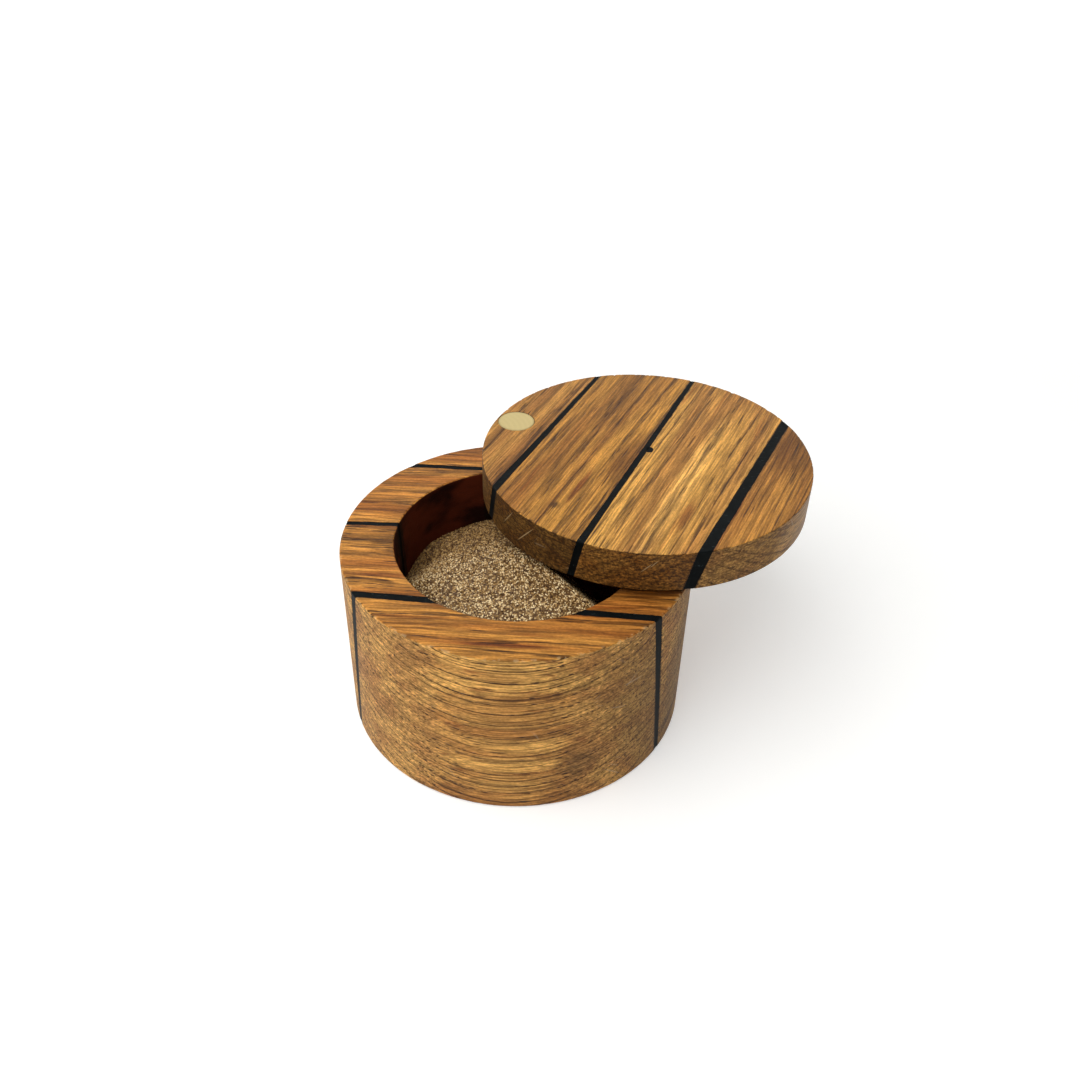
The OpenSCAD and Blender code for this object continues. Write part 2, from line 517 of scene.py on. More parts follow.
@dataclass(frozen=True)
class OakFinish:
    """Oiled oak, cut from a tree as a solid pattern in the board's own frame.

    Turned, sanded and oiled oak shows golden wood crossed by thin dark lines, where each year's growth
    starts with open pores. End grain looks browner and duller with a fine hatch, and the oil leaves a
    low, broad sheen.

    Attributes:
        origin: Place of the board in the tree, in mm, which picks its pattern.
        turn: Direction of the grain about Z, in degrees.
        tilt: Tilt of the growth layers about the grain, in degrees.
        pith: Distance from the board to the middle of the tree, in mm.
        ring: Thickness of a year's growth, in mm.
        gold: sRGB colour of the palest wood.
        tan: sRGB colour of the common wood.
        brown: sRGB colour of the wood at the start of a year.
        russet: sRGB colour of the reddish streaks.
        red_share: How much of the board is reddish, from 0 to 1.
        pore: sRGB colour of the open pores.
        pore_share: How much of that colour shows, from 0 to 1.
        wall: sRGB colour that the walls tend to.
        wall_share: How far a wall along the grain tends to it, from 0 to 1.
        end_share: How far end grain tends to it.
        sway: How far the growth layers sway over the board, in mm.
        straight: How straight the grain is, from 0 to 1.
        scuffed: How much the walls are scratched, from 0 to 1.
        edge: Radius and height of the top edge, in mm.
        edge_tone: sRGB colour of the worn places of that edge; the bowl's pale tone also paints the
            highlight along the edge.
        edge_reach: How far from the edge the wear reaches, in mm.
        edge_share: How much of that colour shows, from 0 to 1.
        top_tint: sRGB colour that the flat faces are multiplied by.
        speckle: Contrast of the speckled end grain, from 0 to 1.
        marks: Places that differ.
        scratches: Long scratches.
    """

    origin: tuple[float, float, float]
    turn: float
    tilt: float = 8.0
    pith: float = 70.0
    ring: float = 2.4
    gold: str = "#D9A356"
    tan: str = "#A87036"
    brown: str = "#7A4E22"
    russet: str = "#7E3F17"
    red_share: float = 0.25
    pore: str = "#2E1808"
    pore_share: float = 0.85
    wall: str = "#A88250"
    wall_share: float = 0.08
    end_share: float = 0.34
    sway: float = 2.6
    straight: float = 0.3
    scuffed: float = 0.5
    edge: Point = (43.0, 48.0)
    edge_tone: str = "#D2B483"
    edge_reach: float = 0.5
    edge_share: float = 0.35
    top_tint: str = "#F1DEC3"
    speckle: float = 0.15
    marks: tuple[Mark, ...] = ()
    scratches: tuple[Scratch, ...] = ()

    def board(self, pose: Matrix) -> Matrix:
        """The board's frame in mm: X along the grain and Z across the growth layers.

        Args:
            pose: Turn from the place where the board was cut to its place at rest.
        """
        turned = Matrix.Rotation(math.radians(self.turn), 4, "Z")
        tilted = Matrix.Rotation(math.radians(self.tilt), 4, "X")
        return pose @ Matrix.Translation(self.origin) @ turned @ tilted

    def years(self, add: AddNode, bent: Plug) -> tuple[Plug, Plug, Plug]:
        """Draws the years of growth, in the tree's own coordinates.

        Args:
            add: Adds a node to the material.
            bent: The place in the board, in mm.

        Returns:
            The thin dark lines, how near the start of a year a place is, and a number for each year.
        """
        # Along the trunk, round it and out from the pith, in mm.
        trunk = add("SeparateXYZ", add("VectorMath ADD", bent, (0, 0, self.pith))).outputs
        around = add("Math MULTIPLY", add("Math ARCTAN2", trunk["Y"], trunk["Z"]), self.pith)
        out = add("VectorMath LENGTH", add("CombineXYZ", 0.0, trunk["Y"], trunk["Z"]))
        tree = add("CombineXYZ", trunk["X"], around, out)
        # Years of uneven width, each of which opens with a band of pores.
        years = add("Math MULTIPLY", out, 1 / self.ring)
        uneven = add("TexNoise", {"W": years, "Scale": 0.45, "Detail": 1.0}, noise_dimensions="1D")
        years = add("Math MULTIPLY_ADD", uneven, 1.8, years)
        luck = add("TexWhiteNoise", add("Math FLOOR", years), noise_dimensions="1D")
        phase = add("Math FRACT", years)
        closing = add("MapRange SMOOTHSTEP", phase, 0.93, 1.0)
        opening = add("Math MAXIMUM", add("MapRange SMOOTHSTEP", phase, 0.05, 0.32, 1.0, 0.0), closing)
        start = add("Math MAXIMUM", add("MapRange SMOOTHSTEP", phase, 0.03, 0.15, 1.0, 0.0), closing)
        # The start of each year is a line, broken here and there, with finer sheets between.
        start = add("Math MULTIPLY", start, patches(add, tree, (24, 12, 1.2), 3.0, (0.36, 0.54)))
        sheets = patches(add, tree, (30, 14, 0.45), 2.0, (0.38, 0.46), (0.6, 0.0))
        return add("Math MAXIMUM", start, sheets), opening, luck

    def scratched(self, add: AddNode, colour: Plug, unrolled: Plug, upright: Plug, pose: Matrix) -> Plug:
        """Scratches the walls.

        Args:
            add: Adds a node to the material.
            colour: The colour so far.
            unrolled: The place on the unrolled wall, in mm.
            upright: 1 on a wall and 0 on a flat face.
            pose: Turn from the place where the board was cut to its place at rest.

        Returns:
            The new colour.
        """
        # Fine pale scratches in patches, whose direction drifts.
        where = patches(add, unrolled, (18, 18, 18), 1.0, (0.62 - 0.3 * self.scuffed, 0.7))
        worn = add("Math MULTIPLY", where, upright)
        drift = stretched(add, unrolled, (25, 25, 25), 1.0).outputs["Color"]
        drifting = add("VectorMath MULTIPLY_ADD", drift, (14, 14, 0), unrolled)
        for lean, key in ((52, 0.0), (-35, 31.0), (12, 67.0)):
            laid = {"Vector": drifting, "Location": (key, key, 0), "Rotation": (0, 0, math.radians(lean))}
            scratch = dashes(add, add("Mapping", laid), (30, 2.6, 1), 0.1, 0.6, flat=True)
            scratch = add("Math MULTIPLY", scratch, worn)
            scratch = add("Math MULTIPLY", scratch, 0.6 * self.scuffed)
            colour = add("Mix RGBA", scratch, colour, "#C4AE8E")
        for scratch in self.scratches:
            ends = [pose.inverted() @ Vector(end) for end in (scratch.start, scratch.end)]
            first, last = (Vector((UNROLLED * math.atan2(end.y, end.x), end.z, 0)) for end in ends)
            laid = last - first
            placed = {
                "Vector": unrolled,
                "Location": (first + last) / 2,
                "Rotation": (0, 0, math.atan2(laid.y, laid.x)),
                "Scale": (laid.length / 2, 0.17, 1),
            }
            away = add("VectorMath LENGTH", add("Mapping", placed, vector_type="TEXTURE"))
            inside = add("MapRange SMOOTHSTEP", away, 0.5, 1.0, scratch.strength, 0.0)
            colour = add("Mix RGBA", add("Math MULTIPLY", inside, upright), colour, "#B99C72")
        return colour

    def material(
        self, node: str, pose: Matrix, seams: Sequence[Seam], hollow: float | None
    ) -> bpy.types.Material:
        """Builds the material.

        Args:
            node: CAD node of the board.
            pose: Turn from the place where the board was cut to its place at rest.
            seams: Seams beside the board.
            hollow: Radius in mm of the stained hollow, if the board has one.

        Returns:
            The material.
        """
        name = node.replace("_plank", "").replace("mid_", "middle ").replace("_", " ")
        made = bpy.data.materials.new("Oak, turned and oiled, " + name)
        add = cleared(made)
        local = self.board(pose)
        board, turned = in_frame(add, local), in_frame(add, pose)
        # The layers sway over tens of millimetres and wiggle over a few.
        sway, wiggle = self.sway, 1.0 - 0.9 * self.straight
        field = stretched(add, board, (70, 22, 22), 1.0).outputs["Color"]
        bent = add("VectorMath MULTIPLY_ADD", field, (0, sway, sway), board)
        field = stretched(add, board, (15, 5, 5), 2.0).outputs["Color"]
        bent = add("VectorMath MULTIPLY_ADD", field, (0, wiggle, wiggle), bent)
        shifted = Vector((0, 0.5, 0.5)) * (sway + wiggle)
        # Faces: how far a face looks along the grain, and how far it stands upright.
        normal = add("TexCoord").outputs["Normal"]
        along = add("VectorMath DOT_PRODUCT", normal, local.to_3x3() @ Vector((1, 0, 0)))
        end = add("MapRange SMOOTHSTEP", add("Math ABSOLUTE", along), 0.3, 0.42)
        upright = add("Math ABSOLUTE", add("SeparateXYZ", normal).outputs["Z"])
        upright = add("MapRange SMOOTHSTEP", upright, 0.4, 0.8, 1.0, 0.0)
        lines, opening, luck = self.years(add, bent)
        # Pores: dark strokes of 0.3 mm along the grain, crowded where a year starts, and a few longer
        # ones of 0.5 mm, drawn a little wider than real so that they show.
        strokes = patches(add, bent, (7, 0.45, 0.45), 3.0, (0.38, 0.48), (1.0, 0.0))
        strokes = add("Math MULTIPLY", strokes, add("MapRange SMOOTHSTEP", opening, 0.0, 0.8, 0.25, 1.0))
        strokes = add("Math MAXIMUM", strokes, dashes(add, bent, (16, 1.1, 1.1), 0.3, 0.95))
        # Colour: broad bands, bands of pores, reddish streaks and the board's marks, some of which are
        # painted shade.
        broad = patches(add, board, (90, 6, 8), 2.0, (0.36, 0.64))
        porous = add("Math MULTIPLY", add("Math MULTIPLY_ADD", luck, 0.3, 0.15), opening)
        ruddy = patches(add, bent, (34, 1.8, 3), 3.0, (0.62 - 0.16 * self.red_share, 0.74), (0.0, 0.7))
        colour = add("Mix RGBA", broad, self.gold, self.tan)
        colour = add("Mix RGBA", porous, colour, self.brown)
        colour = add("Mix RGBA", ruddy, colour, self.russet)
        for mark in self.marks:
            at = local.inverted() @ Vector(mark.at) + shifted
            placed = {"Vector": bent, "Location": at, "Scale": mark.size}
            away = add("VectorMath LENGTH", add("Mapping", placed, vector_type="TEXTURE"))
            away = add("Math MULTIPLY_ADD", stretched(add, bent, (8, 0.5, 0.8), 3.0), 0.9, away)
            inside = add("MapRange SMOOTHSTEP", away, 0.75, 1.45, mark.strength, 0.0)
            colour = add("Mix RGBA", inside, colour, mark.colour)
        # Walls: the turned shape's unrolled coordinates carry a hatch from the turning tool and sanding.
        flat = add("SeparateXYZ", turned).outputs
        girth = add("Math MULTIPLY", add("Math ARCTAN2", flat["Y"], flat["X"]), UNROLLED)
        unrolled = add("CombineXYZ", girth, flat["Z"])
        # Walls tend to the wall colour, end grain most; the lid's dark wall colour is partly painted
        # shade.
        share = add("MapRange SMOOTHSTEP", end, 0.0, 1.0, self.wall_share, self.end_share)
        colour = add("Mix RGBA", add("Math MULTIPLY", share, upright), colour, self.wall)
        hatch = patches(add, unrolled, (4.5, 0.5, 1), 3.0, (0.32, 0.68), (0.78, 1.18))
        speckles = (1 - self.speckle, 1 + self.speckle)
        grit = patches(add, unrolled, (0.9, 0.55, 1), 2.0, (0.36, 0.64), speckles)
        hatch = add("Mix FLOAT", end, 1.0, add("Math MULTIPLY", hatch, grit))
        # Light and shade: narrow streaks, single fibres, flecks and the hatch.
        fibre = patches(add, bent, (9, 0.42, 0.42), 3.0, (0.34, 0.66), (0.7, 1.32))
        fleck = patches(add, board, (0.8, 0.35, 0.35), 2.0, (0.3, 0.7), (0.86, 1.16))
        light = patches(add, bent, (30, 1.3, 1.6), 3.0, (0.3, 0.7), (0.78, 1.22))
        for finer in (fibre, fleck, hatch):
            light = add("Math MULTIPLY", light, finer)
        colour = add("VectorMath SCALE", colour, light)
        tint = add("Mix RGBA", upright, self.top_tint, "#FFFFFF")
        colour = add("Mix RGBA", 1.0, colour, tint, blend_type="MULTIPLY")
        # The dark lines, which show most on walls and least on end grain, and the pores.
        shade = add("MapRange SMOOTHSTEP", upright, 0.0, 1.0, 0.66, 0.92)
        shade = add("Math MULTIPLY", shade, add("MapRange SMOOTHSTEP", end, 0.0, 1.0, 1.0, 0.6))
        colour = add("Mix RGBA", add("Math MULTIPLY", shade, lines), colour, self.pore)
        colour = add("Mix RGBA", add("Math MULTIPLY", strokes, self.pore_share), colour, self.pore)
        colour = self.scratched(add, colour, unrolled, upright, pose)
        # Wear along the top edge, by the distance in from it plus the distance down. On the bowl its pale
        # tone is partly painted highlight along the edge.
        reach = add("VectorMath LENGTH", add("VectorMath MULTIPLY", turned, (1, 1, 0)))
        away = add("Math SUBTRACT", self.edge[1], flat["Z"])
        away = add("Math ADD", add("Math SUBTRACT", self.edge[0], reach), away)
        near = add("MapRange SMOOTHSTEP", away, self.edge_reach * 0.4, self.edge_reach * 1.6, 1.0, 0.0)
        wear_and_highlight = patches(add, unrolled, (1.4, 0.7, 1), 4.0, (0.5, 0.62), (0.0, self.edge_share))
        colour = add("Mix RGBA", add("Math MULTIPLY", wear_and_highlight, near), colour, self.edge_tone)
        deep = None
        if hollow:
            inner = add("MapRange SMOOTHSTEP", reach, hollow + 0.1, hollow + 0.5, 1.0, 0.0)
            deep = add("Math MULTIPLY", inner, upright)
            patchy = patches(add, turned, (11, 11, 7), 2.0, (0.35, 0.6))
            colour = add("Mix RGBA", deep, colour, add("Mix RGBA", patchy, "#230B06", "#5C2512"))
        # Resin soaks into the edges by a few tenths of a millimetre, and further in the hollow.
        for seam in seams:
            through = add("SeparateXYZ", in_frame(add, pose @ seam.frame())).outputs["Y"]
            ragged = stretched(add, board, (2, 0.6, 0.6))
            away = add("Math MULTIPLY_ADD", ragged, 0.8, add("Math ABSOLUTE", through))
            if deep:
                away = add("Math MULTIPLY_ADD", deep, -1.4, away)
            dry = seam.width / 2 + 0.6
            edge = add("MapRange SMOOTHSTEP", away, seam.width / 2 + 0.3, dry, 0.8, 0.0)
            colour = add("Mix RGBA", edge, colour, "#150D08")
        relief = add("Math SUBTRACT", add("Math MULTIPLY", fibre, 0.5), strokes)
        looks = {
            "Base Color": colour,
            "Roughness": add("Math MULTIPLY_ADD", end, 0.12, 0.44),
            "IOR": 1.5,
            "Specular IOR Level": 0.12,
            "Normal": add("Bump", {"Strength": 0.5, "Distance": 0.15 * MM, "Height": relief}),
        }
        add("OutputMaterial", add("BsdfPrincipled", looks))
        return made


@dataclass(frozen=True)
class ResinFinish:
    """Black casting resin, poured between the boards and sanded flush.

    It looks like slate: nearly black with a cool tint, a soft gloss, faint sanding haze and pale scuffs.

    Attributes:
        name: Name of the material.
        black: sRGB colour of the resin.
        haze: sRGB colour of the scuffed resin.
    """

    name: str = "Casting resin, black, sanded flush"
    black: str = "#06090A"
    haze: str = "#465052"

    def material(self) -> bpy.types.Material:
        """Builds the material."""
        made = bpy.data.materials.new(self.name)
        add = cleared(made)
        local = in_frame(add, Matrix.Identity(4))
        cloud = patches(add, local, (5, 5, 5), 3.0, (0.4, 0.8), (0.0, 0.04))
        scuffs = patches(add, local, (1.6, 0.35, 1.1), 3.0, (0.62, 0.74), (0.0, 0.4))
        haze = add("Math ADD", cloud, scuffs, use_clamp=True)
        relief = stretched(add, local, (0.9, 0.9, 0.9), 3.0)
        looks = {
            "Base Color": add("Mix RGBA", haze, self.black, self.haze),
            "Roughness": add("Math MULTIPLY_ADD", haze, 0.3, 0.5),
            "IOR": 1.55,
            "Specular IOR Level": 0.03,
            "Normal": add("Bump", {"Strength": 0.2, "Distance": 0.1 * MM, "Height": relief}),
        }
        add("OutputMaterial", add("BsdfPrincipled", looks))
        return made


@dataclass(frozen=True)
class DowelFinish:
    """Pale birch dowel stock, sawn across and sanded.

    Its end shows fine pores and faint rings on a creamy ground, duller than the oiled oak round it.

    Attributes:
        name: Name of the material.
        cream: sRGB colour of the wood.
        shade: sRGB colour of its rings and of the oil at its rim.
    """

    name: str = "Birch dowel, sawn end grain"
    cream: str = "#C8B47C"
    shade: str = "#A08A54"

    def material(self, axis: Vector, radius: float) -> bpy.types.Material:
        """Builds the material.

        Args:
            axis: A point of the dowel's axis, in mm.
            radius: Radius of the dowel, in mm.
        """
        made = bpy.data.materials.new(self.name)
        add = cleared(made)
        local = in_frame(add, Matrix.Translation(axis))
        # Rings round a heart that lies beside the dowel, pores, and oil that darkens the rim.
        heart = add("VectorMath LENGTH", add("VectorMath MULTIPLY_ADD", local, (1, 1, 0), (9, 4, 0)))
        rings = add("Math SINE", add("Math MULTIPLY", heart, 4.5))
        rings = add("MapRange SMOOTHSTEP", rings, -1.0, 1.0, 0.0, 0.08)
        pores = dashes(add, local, (0.35, 0.35, 6), 0.3, 0.6)
        edge = add("VectorMath LENGTH", add("VectorMath MULTIPLY", local, (1, 1, 0)))
        edge = add("MapRange SMOOTHSTEP", edge, radius - 0.7, radius, 0.0, 0.55)
        tone = add("Math ADD", rings, edge, use_clamp=True)
        tone = add("Math MULTIPLY_ADD", pores, 0.3, tone, use_clamp=True)
        colour = add("Mix RGBA", tone, self.cream, self.shade)
        looks = {"Base Color": colour, "Roughness": 0.55, "IOR": 1.5, "Specular IOR Level": 0.3}
        add("OutputMaterial", add("BsdfPrincipled", looks))
        return made


@dataclass(frozen=True)
class SaltFinish:
    """Coarse smoked salt: crushed crystals, from clear cream to smoke brown.

    Each crystal has one tone, with small bright faces between dark gaps, so the heap looks speckled; the
    heap under the crystals is smoke brown, painted shade in those gaps.

    Attributes:
        name: Name of the material.
        dark: sRGB colour of the smokiest crystals.
        middle: sRGB colour of the common ones.
        pale: sRGB colour of the clearest ones.
    """

    name: str = "Smoked salt, crushed crystals"
    dark: str = "#4C321A"
    middle: str = "#B69058"
    pale: str = "#FFE6B4"

    def material(self) -> bpy.types.Material:
        """Builds the material."""
        made = bpy.data.materials.new(self.name)
        add = cleared(made)
        ramp = add("ValToRGB", add("Attribute", attribute_name="tone").outputs["Fac"])
        stops = ((0.1, self.dark), (0.5, self.middle), (1.0, self.pale))
        while len(ramp.color_ramp.elements) < len(stops):
            ramp.color_ramp.elements.new(0.5)
        for element, (at, code) in zip(ramp.color_ramp.elements, stops):
            element.position, element.color = at, linear(code)
        local = in_frame(add, Matrix.Identity(4))
        mottle = patches(add, local, (0.3, 0.3, 0.3), 2.0, (0.3, 0.7), (0.8, 1.15))
        colour = add("VectorMath SCALE", ramp.outputs["Color"], mottle)
        looks = {"Base Color": colour, "Roughness": 0.4, "IOR": 1.54, "Specular IOR Level": 0.2}
        add("OutputMaterial", add("BsdfPrincipled", looks))
        return made


# ---------------------------------------------------------------- bowl, lid, dowel, salt


@dataclass(frozen=True)
class Board:
    """One oak board: its CAD node and its finish."""

    node: str
    finish: OakFinish


def glue_up(outline: Outline, steps: int, seams: Sequence[Seam]) -> tuple[list[BMesh], list[BMesh]]:
    """Turns a block and cuts it into its boards and seams.

    Args:
        outline: Gives the points (radius, height) at an angle, for a surface that stands in by an inset.
        steps: Steps round the turned shape.
        seams: The seams from front to back.

    Returns:
        The boards' and the seams' shapes, in mm.
    """
    blank, recessed = (revolve(partial(outline, inset=inset), steps) for inset in (0.0, RECESS))
    woods = []
    for i in range(len(seams) + 1):
        part = blank.copy()
        if i > 0:
            part = seams[i - 1].cut(part, Face.BACK, Keep.BACK)
        if i < len(seams):
            part = seams[i].cut(part, Face.FRONT, Keep.FRONT)
        woods.append(part)
    resins = [s.cut(s.cut(recessed, Face.FRONT, Keep.BACK), Face.BACK, Keep.FRONT) for s in seams]
    return woods, resins


def dress(
    boards: dict[Board, BMesh],
    seams: dict[Seam, BMesh],
    pose: Matrix,
    body: Body,
    slot: Slot,
    hollow: float | None = None,
) -> None:
    """Turns the boards and seams of a body into finished pieces.

    Args:
        boards: The boards from front to back, and their shapes in mm.
        seams: The seams between them, and their shapes in mm.
        pose: Turn from the place where they were cut to their place at rest.
        body: Body that they ride on.
        slot: Material slot of the boards; not used.
        hollow: Radius in mm of the stained hollow, if the body has one.
    """
    for i, (board, wood) in enumerate(boards.items()):
        wood.transform(pose)
        finish = board.finish.material(board.node, pose, [*seams][max(i - 1, 0) : i + 1], hollow)
        tie(link_mesh(wood, board.node + "_oak"), board.node, body, finish)
    resin = ResinFinish().material()
    for seam, shape in seams.items():
        shape.transform(pose)
        tie(link_mesh(shape, seam.node + "_resin"), seam.node, body, resin)


@dataclass
class Bowl:
    """Turned bowl of four boards and three seams, in mm.

    Attributes:
        radius: Outer radius.
        height: Height.
        hollow: Radius of the hollow.
        floor: Thickness of the floor.
        boards: The boards from front to back.
        seams: The seams between them.
        ease: Radius of the eased edges.
        foot_ease: How much larger it is at the foot.
        steps: Steps round the turned shape.
    """

    radius: float
    height: float
    hollow: float
    floor: float
    boards: tuple[Board, ...]
    seams: tuple[Seam, ...]
    ease: float = 0.48
    foot_ease: float = 0.15
    steps: int = 720

    def outline(self, angle: float, inset: float = 0.0) -> list[Point]:
        """The turned outline at an angle, whose edges are eased by hand.

        Args:
            angle: Angle round the axis, in radians.
            inset: How far the surface stands in, in mm.

        Returns:
            The points (radius, height), from the foot's middle to the floor's middle.
        """
        outer, top, inner = self.radius - inset, self.height - inset, self.hollow + inset
        foot, rim_edge, bore_edge = (
            self.ease + 0.14 * round_noise(angle, SLOW, k) + 0.1 * round_noise(angle, QUICK, k)
            for k in (1, 2, 3)
        )
        wall = [(outer, top * share) for share in (0.2, 0.4, 0.6, 0.8)]
        rim = [(outer + (inner - outer) * share, top) for share in (0.25, 0.5, 0.75)]
        bore = [(inner, top + (self.floor - top) * share) for share in (0.25, 0.5, 0.75, 1.0)]
        return [
            (0.0, inset),
            (outer / 2, inset),
            *eased((outer, inset), -90, foot + self.foot_ease),
            *wall,
            *eased((outer, top), 0, rim_edge),
            *rim,
            *eased((inner, top), 90, bore_edge),
            *bore,
            (inner / 2, self.floor),
            (0.0, self.floor),
        ]

    def build(self, dowel: "Dowel") -> None:
        """Builds and dresses the bowl's pieces.

        Args:
            dowel: The dowel that turns in the back board.
        """
        woods, resins = glue_up(self.outline, self.steps, self.seams)
        woods[-1] = drilled(woods[-1], dowel.bore(self.height))
        parts = dict(zip(self.boards, woods)), dict(zip(self.seams, resins))
        dress(*parts, Matrix.Identity(4), Body.BOWL, Slot.BOWL_OAK, self.hollow)


@dataclass
class Lid:
    """Round lid of four boards and three seams, in mm, cut shut and shown swung open.

    Attributes:
        radius: Radius of the lid.
        under: Height of its underside.
        top: Height of its top.
        swing: How far it stands open, in degrees.
        boards: The boards from front to back, as they lie when it is shut.
        seams: The seams between them.
        spot: Radius of the resin-filled knot beside the middle seam.
        spot_depth: Depth of that knot.
        spot_at: Place of that knot along the seam and across it.
        top_ease: Radius of the top edge between its chips.
        foot_ease: Radius of the lower edge.
        chip: How deep the chips are.
        steps: Steps round the turned shape.
    """

    radius: float
    under: float
    top: float
    swing: float
    boards: tuple[Board, ...]
    seams: tuple[Seam, ...]
    spot: float = 1.25
    spot_depth: float = 3.0
    spot_at: Point = (1.9, 0.1)
    top_ease: float = 0.2
    foot_ease: float = 0.32
    chip: float = 0.9
    steps: int = 1080

    def outline(self, angle: float, inset: float = 0.0) -> list[Point]:
        """The lid's outline at an angle, whose top edge has small chips.

        Args:
            angle: Angle round the axis, in radians.
            inset: How far the surface stands in, in mm.

        Returns:
            The points (radius, height), from the underside's middle to the top's middle.
        """
        outer, under, top = self.radius - inset, self.under + inset, self.top - inset
        # A chip stands where fine noise is above 0.18.
        chip = max(0.0, round_noise(angle, 46, 9) - 0.18) * self.chip
        above = self.top_ease + 0.08 * round_noise(angle, SLOW, 5) + chip
        below = self.foot_ease + 0.1 * round_noise(angle, SLOW, 6) + 0.1 * round_noise(angle, QUICK, 7)
        wall = [(outer, under + (top - under) * share) for share in (0.3, 0.5, 0.7)]
        return [
            (0.0, under),
            (outer / 2, under),
            *eased((outer, under), -90, below),
            *wall,
            *eased((outer, top), 0, above),
            (outer / 2, top),
            (0.0, top),
        ]

    def knot(self, margin: float, over: float) -> BMesh:
        """The filled knot in the middle of the lid, as a ragged plug.

        Args:
            margin: How much wider than the resin it is, in mm.
            over: Height of its top, in mm.
        """

        def outline(angle: float) -> list[Point]:
            """The plug's outline at an angle."""
            wide = self.spot * (1 + 0.22 * round_noise(angle, 1.4, 4)) + margin
            foot = self.top - self.spot_depth - margin
            return [(0.0, foot), (wide * 0.6, foot), (wide, foot + 1.0), (wide, over), (0.0, over)]

        plug = revolve(outline, 60)
        plug.transform(Matrix.Translation((*self.spot_at, 0.0)))
        return plug

    def build(self, dowel: "Dowel") -> None:
        """Builds and dresses the lid's pieces.

        Args:
            dowel: The dowel that is glued into the back board.
        """
        woods, resins = glue_up(self.outline, self.steps, self.seams)
        woods[-1] = drilled(woods[-1], dowel.glue_hole(self.under, self.top))
        beside_knot = (1, 2)
        for i in beside_knot:
            woods[i] = drilled(woods[i], self.knot(0.02, self.top + 1))
        plug = bpy.data.meshes.new("plug")
        self.knot(0.0, self.top - RECESS).to_mesh(plug)
        resins[1].from_mesh(plug)
        bpy.data.meshes.remove(plug)
        parts = dict(zip(self.boards, woods)), dict(zip(self.seams, resins))
        dress(*parts, dowel.swung(self.swing), Body.LID, Slot.LID_OAK)


@dataclass
class Dowel:
    """Upright dowel that the lid turns on, in mm.

    Attributes:
        node: CAD node of the dowel.
        axis: Distance of its axis behind the bowl's middle.
        radius: Radius of the dowel.
        foot: Height of its foot.
        top: Height of its top.
        clearance: Gap round it in the bowl.
        glue: Gap round it in the lid.
        gap: Gap under its foot.
    """

    node: str
    axis: float
    radius: float
    foot: float
    top: float
    clearance: float = 0.05
    glue: float = 0.02
    gap: float = 0.3

    def swung(self, degrees: float) -> Matrix:
        """Turn about the dowel, in mm.

        Args:
            degrees: How far, anticlockwise from above.
        """
        there = Matrix.Translation((0.0, self.axis, 0.0))
        return there @ Matrix.Rotation(math.radians(degrees), 4, "Z") @ there.inverted()

    def rod(self, points: list[Point]) -> BMesh:
        """A turned solid round the dowel's axis.

        Args:
            points: Its outline as (radius, height).
        """
        made = revolve(lambda angle: points, 120)
        made.transform(Matrix.Translation((0.0, self.axis, 0.0)))
        return made

    def bore(self, rim: float) -> BMesh:
        """The blind bore in the bowl, up to past the rim at a height."""
        wide, foot, high = self.radius + self.clearance, self.foot - self.gap, rim + 2
        bevel = 0.3
        mouth = [(wide, rim - bevel), (wide + bevel, rim), (wide + bevel, high)]
        return self.rod([(0, foot), (wide, foot), *mouth, (0, high)])

    def glue_hole(self, under: float, top: float) -> BMesh:
        """The hole through the lid, with a hair of a groove round the dowel's end."""
        wide, low, high = self.radius + self.glue, under - 1, top + 1
        mouth = [(wide, top - 0.25), (wide + 0.1, top), (wide + 0.1, high)]
        return self.rod([(0, low), (wide, low), *mouth, (0, high)])

    def build(self) -> None:
        """Builds and dresses the dowel."""
        edge = self.radius
        points = [
            (0.0, self.foot),
            (edge - 0.6, self.foot),
            *eased((edge, self.foot), -90, 0.5),
            (edge, (self.foot + self.top) / 2),
            *eased((edge, self.top), 0, 0.12),
            (edge / 2, self.top),
            (0.0, self.top),
        ]
        finish = DowelFinish().material(Vector((0.0, self.axis, self.top)), self.radius)
        tie(link_mesh(self.rod(points), self.node + "_birch"), self.node, Body.LID, finish)


